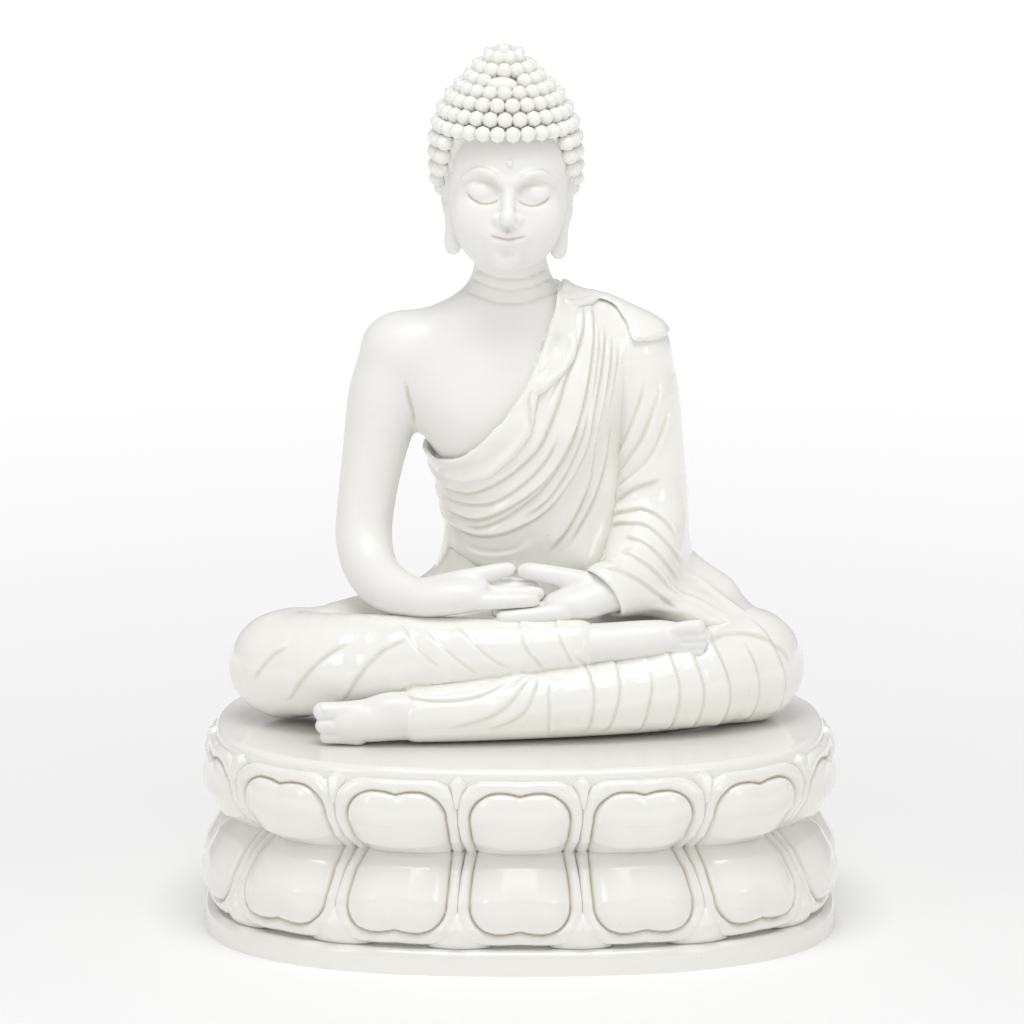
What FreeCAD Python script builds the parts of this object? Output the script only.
"""A seated Buddha of white porcelain on a double lotus seat, about 301 mm tall.

The statue is made the way slip-cast porcelain is made: hollow castings for the seat, the body and the
head, with solid hand-made pieces (petals, curls, hands, feet, robe borders) luted on with slip before
the firing.  Every piece is its own solid.  Millimetres, +Z up, the statue faces -Y, and the origin is
at the middle of the foot.
"""
import FreeCAD, Part
import math
import os

V = FreeCAD.Vector

# ---- driving dimensions -------------------------------------------------------------------------
FOOT_HALF_WIDTH = 107.8     # plan of the foot, a rounded oval
FOOT_HALF_DEPTH = 76.9
OVAL_POWER = 2.5            # 2 is an ellipse, larger is squarer
PLINTH_HEIGHT = 8.5
PLINTH_ROUND = 2.6
FOOT_RING_WIDTH = 11.0
FOOT_RECESS = 1.2
WAIST_Z = 39.5              # where the lower and the upper ring of petals meet
RIM_Z = 68.5                # top of the upper ring of petals
DECK_Z = 70.0               # the face that the figure sits on
WALL = 5.0                  # thickness of a casting's wall
VENT_RADIUS = 1.8           # firing vents between the hollows
PETAL_COUNT = 14            # in each ring
PETAL_GAP = 0.8             # clear width between two petals
LUTE = 0.05                 # film of slip between luted pieces
CURL_RADIUS = 2.5
CURL_ROW_STEP = 4.9
HEAD_ROLL = 2.5             # degrees, the head leans to its right


# ---- shape helpers ------------------------------------------------------------------------------
def closed_wire(points):
    """A smooth closed curve through the points."""
    curve = Part.BSplineCurve()
    curve.interpolate(Points=points, PeriodicFlag=True)
    return Part.Wire([curve.toShape()])


def open_edge(points):
    """A smooth open curve through the points."""
    curve = Part.BSplineCurve()
    curve.interpolate(Points=points)
    return curve.toShape()


def power_of(value, power):
    return math.copysign(abs(value) ** power, value)


def oval_point(half_width, half_depth, angle, power=OVAL_POWER):
    """A point of the rounded oval; angle 0 is the front, -Y."""
    return (half_width * power_of(math.sin(angle), 2 / power),
            -half_depth * power_of(math.cos(angle), 2 / power))


def oval(half_width, half_depth, z, centre=(0, 0), power=OVAL_POWER, count=32):
    points = []
    for i in range(count):
        x, y = oval_point(half_width, half_depth, 2 * math.pi * (i + 0.5) / count, power)
        points.append(V(centre[0] + x, centre[1] + y, z))
    return closed_wire(points)


def loft(wires):
    shape = Part.makeLoft(wires, True, False)
    if shape.Volume < 0:
        shape.reverse()
    return shape


def ellipsoid(centre, radii, roll=0.0):
    """A ball stretched to three radii, rolled about the Y axis."""
    stretch = FreeCAD.Matrix()
    stretch.scale(V(*radii))
    shape = Part.makeSphere(1.0).transformGeometry(stretch)
    shape.rotate(V(0, 0, 0), V(0, 1, 0), roll)
    shape.translate(V(*centre))
    return shape


def limb(stations, flatten=1.0, tips=(0.45, 0.45)):
    """A tapering limb through (x, y, z, radius) stations, with a blunt tip at each end.

    flatten is the height of the section over its width.
    """
    centres = [V(*s[:3]) for s in stations]
    radii = [s[3] for s in stations]
    first = (centres[0] - centres[1]).normalize()
    last = (centres[-1] - centres[-2]).normalize()
    centres = [centres[0] + first * radii[0] * 0.75] + centres + [centres[-1] + last * radii[-1] * 0.75]
    radii = [radii[0] * tips[0]] + radii + [radii[-1] * tips[1]]
    wires = []
    for i, centre in enumerate(centres):
        before, after = centres[max(i - 1, 0)], centres[min(i + 1, len(centres) - 1)]
        along = (after - before).normalize()
        side = along.cross(V(0, 0, 1))
        side = side.normalize() if side.Length > 0.2 else V(1, 0, 0)
        up = side.cross(along).normalize()
        ring = []
        for k in range(12):
            a = 2 * math.pi * k / 12
            ring.append(centre + side * (radii[i] * math.cos(a)) + up * (radii[i] * flatten * math.sin(a)))
        wires.append(closed_wire(ring))
    return loft(wires)


def sections(rows, grow=0.0, power=2.2, steps=24):
    """A loft through (z, x, y, half width, half depth) rows, grown sideways by grow."""
    return loft([oval(w + grow, d + grow, z, (x, y), power, steps) for z, x, y, w, d in rows])


def vent(x, y, low, high):
    return Part.makeCylinder(VENT_RADIUS, high - low, V(x, y, low))


def solid_of(shape):
    """The largest solid of a boolean's result."""
    return max(shape.Solids, key=lambda s: s.Volume)


# ---- the lotus seat -----------------------------------------------------------------------------
LOWER_RINGS = ((PLINTH_HEIGHT, 101.5, 70.6), (16.0, 103.0, 72.1), (24.0, 100.8, 69.9),
               (32.0, 96.5, 65.6), (WAIST_Z, 92.5, 61.6))
UPPER_RINGS = ((WAIST_Z, 92.5, 61.6), (46.0, 97.0, 66.1), (53.0, 101.0, 70.1), (61.0, 103.6, 72.7),
               (66.0, 104.2, 73.3))


def make_plinth():
    """The foot slab: its top edge rounded, its underside recessed inside a bare foot ring."""
    body = Part.Face(oval(FOOT_HALF_WIDTH, FOOT_HALF_DEPTH, 0, count=40)).extrude(V(0, 0, PLINTH_HEIGHT))
    top_edges = [e for e in body.Edges if abs(e.CenterOfMass.z - PLINTH_HEIGHT) < 0.01]
    body = body.makeFillet(PLINTH_ROUND, top_edges)
    recess = oval(FOOT_HALF_WIDTH - FOOT_RING_WIDTH, FOOT_HALF_DEPTH - FOOT_RING_WIDTH, -1, count=40)
    body = body.cut(Part.Face(recess).extrude(V(0, 0, 1 + FOOT_RECESS)))
    return body.cut(vent(0, 0, -1, PLINTH_HEIGHT + 1))


def ring_body(rings):
    return loft([oval(w, d, z) for z, w, d in rings])


def hollow_of(rings, floor, roof):
    """The space inside a ring body, one wall in from its sides."""
    low, high = rings[0], rings[-1]
    narrow = min(w for _, w, _ in rings) - WALL
    shallow = min(d for _, _, d in rings) - WALL
    return loft([oval(narrow, shallow, low[0] + floor), oval(narrow, shallow, high[0] - roof)])


def make_lower_lotus():
    hollow = hollow_of(LOWER_RINGS, WALL, WALL / 2)
    vents = vent(0, 0, 0, 2 * WAIST_Z)
    return ring_body(LOWER_RINGS).cut(hollow).cut(vents)


def make_upper_lotus():
    hollow = hollow_of(UPPER_RINGS, WALL / 2, WALL / 2)
    return ring_body(UPPER_RINGS).cut(hollow).cut(vent(0, 0, WAIST_Z - 1, WAIST_Z + WALL))


def make_deck():
    """The seat's top slab, its edge rounded over."""
    z = UPPER_RINGS[-1][0]
    half_width, half_depth = UPPER_RINGS[-1][1:]
    body = Part.Face(oval(half_width - 0.5, half_depth - 0.5, z)).extrude(V(0, 0, DECK_Z - z))
    edges = [e for e in body.Edges if abs(e.CenterOfMass.z - DECK_Z) < 0.01]
    return body.makeFillet(2.5, edges)


def angle_table(half_width, half_depth, count=2880):
    """Angles of the oval at even steps of its length, from the front round to the front."""
    points = [oval_point(half_width, half_depth, 2 * math.pi * i / count) for i in range(count + 1)]
    lengths = [0.0]
    for a, b in zip(points, points[1:]):
        lengths.append(lengths[-1] + math.dist(a, b))
    return [2 * math.pi * i / count for i in range(count + 1)], lengths


ANGLES, LENGTHS = angle_table(100.0, 69.0)
PITCH = LENGTHS[-1] / PETAL_COUNT


def angle_at(length):
    """The oval's angle at a length along it from the front."""
    length %= LENGTHS[-1]
    low, high = 0, len(LENGTHS) - 1
    while high - low > 1:
        mid = (low + high) // 2
        if LENGTHS[mid] <= length:
            low = mid
        else:
            high = mid
    share = (length - LENGTHS[low]) / (LENGTHS[high] - LENGTHS[low])
    return ANGLES[low] + share * (ANGLES[high] - ANGLES[low])


def ring_at(rings, z):
    """Half width and half depth of a ring body at a height."""
    for (z0, w0, d0), (z1, w1, d1) in zip(rings, rings[1:]):
        if z <= z1:
            share = (z - z0) / (z1 - z0)
            return w0 + share * (w1 - w0), d0 + share * (d1 - d0)
    return rings[-1][1:]


def petal_section(rings, z, middle, half_width, thick):
    """One level section of a petal: the seat's own curve inside, a crowned curve outside."""
    w, d = ring_at(rings, z)
    inner, outer = [], []
    for k in range(9):
        u = -1 + k / 4
        angle = angle_at(middle + u * half_width)
        x, y = oval_point(w, d, angle)
        x2, y2 = oval_point(w + 1, d + 1, angle)
        out = V(x2 - x, y2 - y, 0).normalize()
        inner.append(V(x, y, z) + out * 0.4)
        outer.append(V(x, y, z) + out * (0.4 + thick * (1 - abs(u) ** 3) ** 0.6))
    return Part.Wire([open_edge(inner), open_edge(outer)])


def make_petal(rings, number, tip_down):
    """A petal from the waist to its round tip."""
    low, high = (PLINTH_HEIGHT + 0.6, WAIST_Z - 0.4) if tip_down else (WAIST_Z + 0.4, RIM_Z - 2.5)
    middle = number * PITCH
    widest = (PITCH - PETAL_GAP) / 2
    wires = []
    for share in (0.0, 0.18, 0.4, 0.65, 0.85, 1.0):
        z = high - share * (high - low) if tip_down else low + share * (high - low)
        half_width = widest * (1 - 0.36 * share ** 4) * (0.9 + 0.1 * math.sin(math.pi * min(share * 2, 1) / 2))
        thick = 2.4 + 3.1 * math.sin(math.pi * (0.1 + 0.72 * share))
        wires.append(petal_section(rings, z, middle, half_width, thick))
    if tip_down:
        wires.reverse()
    return loft(wires)


def make_leaf_tips(rings, tip_down):
    """The pointed ends of the petals behind, showing between the front ones."""
    z = PLINTH_HEIGHT + 2.2 if tip_down else RIM_Z - 4.2
    tips = []
    for number in range(PETAL_COUNT):
        w, d = ring_at(rings, min(z, 66.0))
        x, y = oval_point(w + 3.2, d + 3.2, angle_at((number + 0.5) * PITCH))
        point = -1.9 if tip_down else 3.4
        tip = Part.makeCone(2.1, 0.3, abs(point), V(x, y, z), V(0, 0, math.copysign(1, point)))
        tips.append(tip)
    return Part.makeCompound(tips)


# ---- the figure ---------------------------------------------------------------------------------
TORSO = ((DECK_Z + LUTE, 0, 27, 46, 29), (82, 0, 27, 47.5, 30.5), (96, 0, 26.5, 42.5, 28.5),
         (112, 0, 25, 31, 23.5), (128, -0.5, 24, 25, 20.5), (144, -1, 23, 26.5, 21),
         (158, -1.3, 22, 30.5, 23), (171, -1.6, 21.5, 35, 24), (183, -1.9, 21.5, 39.5, 24),
         (193, -2, 21, 43.5, 21.5), (201, -2.2, 20.5, 42.5, 18.5), (207.5, -2.5, 20, 34, 15.8),
         (212.5, -2.6, 19.3, 23, 14.2), (216.5, -2.7, 19, 15.2, 13.6))
ROBE_GROW = 2.0
ROBE_LOW, ROBE_HIGH = 96, 207.5
COLLAR_THICK = 2.2          # the turned-over upper border of the robe
COLLAR_WIDTH = 9.0
BORDER = ((-33.0, 161.5), (-24.0, 157.5), (-10.0, 162.0), (0.0, 172.0), (8.5, 186.5), (12.6, 202.0))
TENON_RADIUS = 6.0
TENON_LENGTH = 7.0


def make_torso():
    """The hollow body casting, with a socket in its top for the neck's tenon."""
    inner = [(z, x, y, w - WALL, d - WALL) for z, x, y, w, d in TORSO[1:-3]]
    body = sections(TORSO).cut(sections(inner))
    socket = Part.makeCylinder(TENON_RADIUS + LUTE, TENON_LENGTH + 1, V(-2.7, 19, TORSO[-1][0] - TENON_LENGTH))
    return body.cut(socket).cut(vent(0, 27, DECK_Z - 1, DECK_Z + 3 * WALL))


def robe_side():
    """A deep block on the robed side of the slanting upper border."""
    curve = [V(x, 0, z) for x, z in BORDER]
    slant = Part.BSplineCurve()
    slant.interpolate(Points=curve)
    corners = [curve[-1], V(13, 0, 240), V(90, 0, 240), V(90, 0, 50), V(-90, 0, 50), V(-90, 0, curve[0].z), curve[0]]
    rest = [Part.makeLine(p, q) for p, q in zip(corners, corners[1:])]
    face = Part.Face(Part.Wire([slant.toShape()] + rest))
    block = face.extrude(V(0, 200, 0))
    block.translate(V(0, -100, 0))
    return block


def make_robe_wrap():
    """The outer robe round the body, from the hips to the left shoulder."""
    rows = [r for r in TORSO if ROBE_LOW <= r[0] <= ROBE_HIGH]
    cloth = sections(rows, ROBE_GROW).cut(sections(TORSO, LUTE))
    return solid_of(cloth.common(robe_side()))


def make_robe_border(right_arm):
    """The turned-over upper border, a raised band from under the right arm to the left shoulder."""
    rows = [r for r in TORSO if ROBE_LOW <= r[0] <= ROBE_HIGH]
    band = sections(rows, ROBE_GROW + COLLAR_THICK).cut(sections(rows, ROBE_GROW + LUTE)).common(robe_side())
    below = robe_side()
    below.translate(V(COLLAR_WIDTH * 0.8, 0, -COLLAR_WIDTH))
    front = Part.makeBox(200, 100, 300, V(-100, -100, 0))
    front.translate(V(0, TORSO[0][2] - 4, 0))
    return solid_of(band.cut(below).common(front).cut(right_arm))


def make_shoulder_flap():
    """The end of the robe, thrown back over the left shoulder."""
    return limb(((14, 11, 215, 3.6), (25, 14, 213.5, 5.4), (38, 17, 209, 6.4), (48, 18, 201, 4.6)), 0.5)


def make_neck():
    """The short neck, with a tenon below that seats in the body and a spigot above inside the head."""
    foot = TORSO[-1][0] + LUTE
    body = loft([oval(r, r, z, (x, y), 2.0, 16) for z, x, y, r in
                 ((foot, -2.7, 19, 14.0), (220, -2.9, 18, 12.8), (226, -3.2, 16.8, 12.2), (233, -3.5, 15.5, 11.8))])
    tenon = Part.makeCylinder(TENON_RADIUS, TENON_LENGTH + 0.5, V(-2.7, 19, foot - TENON_LENGTH))
    return solid_of(body.fuse(tenon).cut(Part.makeCylinder(VENT_RADIUS, 40, V(-3, 17.5, 205))))


HEAD = ((226.0, -3.2, 6.0, 8.0, 8.0), (230.5, -3.3, 7.5, 13.6, 13.5), (238.0, -3.5, 9.5, 18.2, 18.8),
        (247.0, -3.8, 10.8, 20.8, 22.2), (257.0, -4.1, 11.3, 21.5, 23.6), (267.0, -4.4, 12.2, 21.3, 23.4),
        (276.0, -4.7, 13.5, 18.5, 20.0), (283.0, -4.9, 14.5, 11.5, 13.0))
FACE_CENTRE = (-4.0, 11.0, 256.5)
FACE_RADII = (21.5, 23.6, 30.5)
DOME = ((238.0, 17.5, 19.5), (246.0, 20.0, 22.6), (254.0, 21.2, 24.2), (262.0, 21.6, 24.6), (269.0, 21.4, 24.2),
        (275.0, 20.2, 22.4), (281.0, 17.6, 19.0), (285.0, 14.6, 15.4), (288.5, 10.8, 11.2), (292.0, 7.6, 7.8),
        (295.0, 4.4, 4.4), (296.4, 1.4, 1.4))      # the hair: height, half width, half depth
DOME_MIDDLE = (-4.7, 14.6, 262.0)
DOME_LEAN = (-0.02, 0.03)
JEWEL_CENTRE = (-5.3, 1.0, 288.0)
JEWEL_RADII = (4.6, 1.6, 2.4)
JEWEL_BED = 0.4             # clear width between the jewel and the curls round it
JEWEL_LEAN = 48.0           # degrees back from upright, the slope of the hair under it
HAIRLINE_FRONT = (-10.0, 269.0)     # y and z of the hair's edge over the brow
HAIRLINE_SLOPE = 0.9
EAR_SQUEEZE = 0.6


def make_head_outside():
    return sections(HEAD, power=2.1)


def make_head(outside, neck):
    """The hollow head casting, seated over the neck's spigot."""
    hollow = sections([(z, x, y, w - WALL, d - WALL) for z, x, y, w, d in HEAD[2:-1]], power=2.1)
    vents = Part.makeCylinder(VENT_RADIUS, 22, V(-3.5, 15.5, 222))
    return solid_of(outside.cut(hollow).cut(vents).cut(neck))


def hairline(y):
    """Height of the hair's lower edge: over the brow, down past the ear, to the nape."""
    return HAIRLINE_FRONT[1] - HAIRLINE_SLOPE * (y - HAIRLINE_FRONT[0])


def dome_centre(z):
    """The middle of the hair at a height: it leans with the head."""
    rise = z - DOME_MIDDLE[2]
    return DOME_MIDDLE[0] + DOME_LEAN[0] * rise, DOME_MIDDLE[1] + DOME_LEAN[1] * rise


def make_hair_cap(head_outside):
    cap = sections([(z, *dome_centre(z), w, d) for z, w, d in DOME], power=2.0)
    below = Part.makeBox(120, 120, 60, V(-60, -60, -60))
    below.rotate(V(0, 0, 0), V(1, 0, 0), -math.degrees(math.atan(HAIRLINE_SLOPE)))
    below.translate(V(0, *HAIRLINE_FRONT))
    return solid_of(cap.cut(head_outside).cut(below))


def dome_rows():
    """Rows up the hair's side at even steps: height, half width, half depth, and the slope's normal."""
    rows = []
    left = CURL_ROW_STEP / 2
    for (z0, w0, d0), (z1, w1, d1) in zip(DOME, DOME[1:]):
        length = math.hypot(z1 - z0, w1 - w0)
        normal = ((z1 - z0) / length, (w0 - w1) / length)
        while left < length:
            share = left / length
            rows.append((z0 + share * (z1 - z0), w0 + share * (w1 - w0), d0 + share * (d1 - d0), normal))
            left += CURL_ROW_STEP
        left -= length
    return rows


def is_clear(at, places):
    """True when a curl there touches no other curl and leaves the jewel's bed free."""
    if any((at - other).Length < 2 * CURL_RADIUS + LUTE for other in places):
        return False
    gap = at - V(*JEWEL_CENTRE)
    clear = CURL_RADIUS + JEWEL_BED
    return math.hypot(gap.x / (JEWEL_RADII[0] + clear), math.hypot(gap.y, gap.z) / (JEWEL_RADII[2] + clear)) > 1


def curl_places():
    """Rows of curls over the hair, each row turned half a step from the one below."""
    places = []
    for row, (z, w, d, normal) in enumerate(dome_rows()):
        around = math.pi * (w + d + 2 * CURL_RADIUS)
        count = max(1, int(around / (2 * CURL_RADIUS + 0.25)))
        x, y = dome_centre(z)
        for k in range(count):
            angle = 2 * math.pi * (k + 0.5 * (row % 2)) / count
            out = V(math.sin(angle) / w, -math.cos(angle) / d, 0).normalize()
            foot = V(x + w * math.sin(angle), y - d * math.cos(angle), z)
            at = foot + (out * normal[0] + V(0, 0, normal[1])) * (CURL_RADIUS + LUTE)
            if at.z > hairline(at.y) + CURL_RADIUS * 0.6 and is_clear(at, places):
                places.append(at)
    crown = V(*dome_centre(DOME[-1][0]), DOME[-1][0] + CURL_RADIUS + LUTE)
    return places + [crown] if is_clear(crown, places) else places


def make_curls():
    return Part.makeCompound([Part.makeSphere(CURL_RADIUS, at) for at in curl_places()])


def make_jewel():
    jewel = ellipsoid((0, 0, 0), JEWEL_RADII, HEAD_ROLL)
    jewel.rotate(V(0, 0, 0), V(1, 0, 0), -JEWEL_LEAN)
    jewel.translate(V(*JEWEL_CENTRE))
    return jewel


def make_urna():
    return Part.makeSphere(0.8, V(FACE_CENTRE[0], FACE_CENTRE[1] - FACE_RADII[1] - 0.4, FACE_CENTRE[2] + 4))


def make_ear(side, z, head_outside):
    """A long ear with a heavy lobe, against the side of the head."""
    middle = FACE_CENTRE[0]
    stations = ((22.6, 13.0, z + 30, 3.6), (22.4, 13.5, z + 20, 3.8), (20.6, 14.0, z + 9, 2.9), (18.8, 13.0, z, 3.6))
    ear = limb([(middle + side * out, y, height, radius) for out, y, height, radius in stations], 1.0, (0.6, 0.6))
    squeeze = FreeCAD.Matrix()
    squeeze.scale(V(EAR_SQUEEZE, 1.0, 1.0))
    ear.translate(V(-middle, 0, 0))
    ear = ear.transformGeometry(squeeze)
    ear.translate(V(middle + side * (1 - EAR_SQUEEZE) * 21.0, 0, 0))
    return solid_of(ear.cut(head_outside))


RIGHT_ARM = ((-41.5, 20, 193.5, 13.2), (-46, 19.5, 179, 12.6), (-49.5, 18, 161, 10.8), (-52.4, 15.5, 143, 9.8),
             (-53.4, 11, 129, 9.6), (-50, 2, 121, 9.0), (-43, -9, 117.5, 8.2), (-33, -19.5, 116, 7.0))
LEFT_SLEEVE = ((37.5, 20.5, 193.5, 14.2), (41.5, 20, 180, 13.6), (44.2, 18.5, 161, 12.0), (46.2, 16, 143, 11.5),
               (45.5, 10, 131, 11.4), (40.5, 0, 123.5, 10.6), (33.5, -10, 119.5, 9.6), (29, -15.5, 118.8, 8.8))
LEFT_DRAPE = ((36, 22, 188, 9), (36, 22, 168, 9.5), (36, 20, 150, 9.5), (36, 17, 134, 9.5), (38, 12, 120, 9))


def make_right_arm(torso):
    return solid_of(limb(RIGHT_ARM).cut(torso))


def make_left_sleeve(torso, wrap, collar):
    """The robed arm, with the cloth that hangs from it and closes the space beside the body."""
    sleeve = limb(LEFT_SLEEVE).fuse(limb(LEFT_DRAPE))
    return solid_of(sleeve.cut(torso).cut(wrap).cut(collar))


def make_sleeve_fall(others):
    """The hanging end of the sleeve, spread from the forearm over the left thigh to the knee."""
    fall = limb(((34, -6, 116, 7.0), (50, 2, 114, 10.0), (66, 5, 110, 11.0), (82, 6, 104, 6.5)), 0.55)
    return solid_of(fall.cut(Part.makeCompound(others)))


RIGHT_THIGH = ((-24, 24, 94, 20), (-51, 14.5, 92, 18.6), (-72, 6.5, 90, 17.4))
RIGHT_SHIN = ((-80.5, -1.5, 90.5, 17.8), (-62, -12.5, 92.5, 17.0), (-36, -19, 95.5, 14.5),
              (-8, -22.5, 98.5, 12.0), (16, -24, 101.0, 9.0), (25, -24, 102, 8.0))
LEFT_THIGH = ((24, 24, 94, 20), (51, 15.5, 92, 18.6), (70, 8.5, 90, 17.6))
LEFT_SHIN = ((76.5, 0, 89.0, 18.0), (62, -12.5, 88.0, 16.8), (38, -22.0, 84.5, 13.6),
             (10, -28, 82.8, 12.2), (-16, -31, 80.5, 10.0), (-33, -33, 79.0, 8.4))


def above_deck(shape):
    return solid_of(shape.cut(Part.makeBox(400, 400, 100, V(-200, -200, DECK_Z + LUTE - 100))))


def make_leg(thigh, shin, others):
    leg = limb(thigh).fuse(limb(shin))
    return above_deck(leg.cut(Part.makeCompound(others)))


RIGHT_FOOT = ((29, -23.5, 102.5, 7.2), (38, -22.5, 103.0, 7.4), (49, -21, 104.0, 7.0), (58, -19.5, 105, 4.6))
LEFT_FOOT = ((-37, -34, 78.0, 7.6), (-46, -35, 77.6, 7.4), (-57, -36, 76.5, 6.4), (-64, -36.5, 75.6, 4.8))


def make_foot(stations, others):
    return above_deck(limb(stations, 0.8).cut(Part.makeCompound(others)))


def make_hand(wrist, palm, tips, others):
    """A palm with four fingers side by side, luted as one piece."""
    body = limb((wrist, palm[0], palm[1]), 0.55)
    root = palm[1]
    for k, tip in enumerate(tips):
        across = -4.2 + 2.8 * k
        finger = limb(((root[0], root[1] + across, root[2], 2.3),
                       ((root[0] + tip[0]) / 2, root[1] + across, (root[2] + tip[2]) / 2, 2.2),
                       (tip[0], root[1] + across, tip[2], 1.8)), 1.0, (0.6, 0.6))
        body = body.fuse(finger)
    return solid_of(body.cut(Part.makeCompound(others)))


def make_thumb(start, end, others):
    middle = [(a + b) / 2 for a, b in zip(start, end)]
    thumb = limb((start + (2.9,), (middle[0], middle[1], middle[2] + 0.6, 2.8), end + (2.3,)), 1.0, (0.6, 0.6))
    return solid_of(thumb.cut(Part.makeCompound(others)))


# ---- the whole statue ---------------------------------------------------------------------------
def save(name, shape):
    shape.exportStep(f"parts/{name}.step")
    print(f"{name:22s} solids {len(shape.Solids):3d} volume {shape.Volume:10.1f} valid {shape.isValid()}")


def main():
    os.makedirs("parts", exist_ok=True)
    save("plinth", make_plinth())
    save("lower_lotus", make_lower_lotus())
    save("upper_lotus", make_upper_lotus())
    save("deck", make_deck())
    for number in range(PETAL_COUNT):
        save(f"lower_petal_{number + 1:02d}", make_petal(LOWER_RINGS, number, True))
        save(f"upper_petal_{number + 1:02d}", make_petal(UPPER_RINGS, number, False))
    save("lower_leaf_tips", make_leaf_tips(LOWER_RINGS, True))
    save("upper_leaf_tips", make_leaf_tips(UPPER_RINGS, False))

    torso_outside = sections(TORSO)
    torso = make_torso()
    save("torso", torso)
    wrap = make_robe_wrap()
    robed_rows = [r for r in TORSO if ROBE_LOW <= r[0] <= ROBE_HIGH]
    wrap_outside = sections(robed_rows, ROBE_GROW + LUTE).common(robe_side())
    save("robe_wrap", wrap)
    neck = make_neck()
    save("neck", neck)
    head_outside = make_head_outside()
    save("head", make_head(head_outside, neck))
    save("hair_cap", make_hair_cap(head_outside))
    save("hair_curls", make_curls())
    save("hair_jewel", make_jewel())
    save("urna_bead", make_urna())
    save("right_ear", make_ear(-1, 233.0, head_outside))
    save("left_ear", make_ear(1, 235.0, head_outside))

    body = [torso_outside, wrap_outside]
    right_arm = make_right_arm(torso_outside)
    collar = make_robe_border(right_arm)
    left_sleeve = make_left_sleeve(torso_outside, wrap_outside, collar)
    save("right_arm", right_arm)
    save("left_sleeve", left_sleeve)
    save("robe_border", collar)
    border_outside = sections(robed_rows, ROBE_GROW + COLLAR_THICK + LUTE).common(robe_side())
    save("shoulder_flap", solid_of(make_shoulder_flap().cut(Part.makeCompound([border_outside, left_sleeve]))))
    left_leg = make_leg(LEFT_THIGH, LEFT_SHIN, body)
    right_leg = make_leg(RIGHT_THIGH, RIGHT_SHIN, body + [left_leg])
    save("left_leg", left_leg)
    save("right_leg", right_leg)
    left_foot = make_foot(LEFT_FOOT, [left_leg, right_leg])
    save("left_foot", left_foot)
    right_foot = make_foot(RIGHT_FOOT, [left_leg, right_leg, left_sleeve])
    save("right_foot", right_foot)
    save("sleeve_fall", make_sleeve_fall(body + [left_sleeve, left_leg, right_foot]))

    lap = [left_leg, right_leg, right_arm, left_sleeve, right_foot] + body
    left_hand = make_hand((26, -17, 116.5, 6.6), ((17, -19, 115.0, 7.2), (8, -20, 114.0, 6.6)),
                          [(-9.5 + k, 0, 114.0) for k in range(4)], lap)
    save("left_hand", left_hand)
    right_hand = make_hand((-28, -19, 117.5, 6.6), ((-18, -20, 119, 7.2), (-9, -20, 119.6, 6.4)),
                           [(8.0 - k, 0, 119.4) for k in range(4)], lap + [left_hand])
    save("right_hand", right_hand)
    save("right_thumb", make_thumb((-15, -15.5, 123.0), (-3.6, -14.5, 127.0), lap + [right_hand]))
    save("left_thumb", make_thumb((16, -15.5, 121.0), (1.4, -14.5, 126.5), lap + [left_hand, right_hand]))


main()
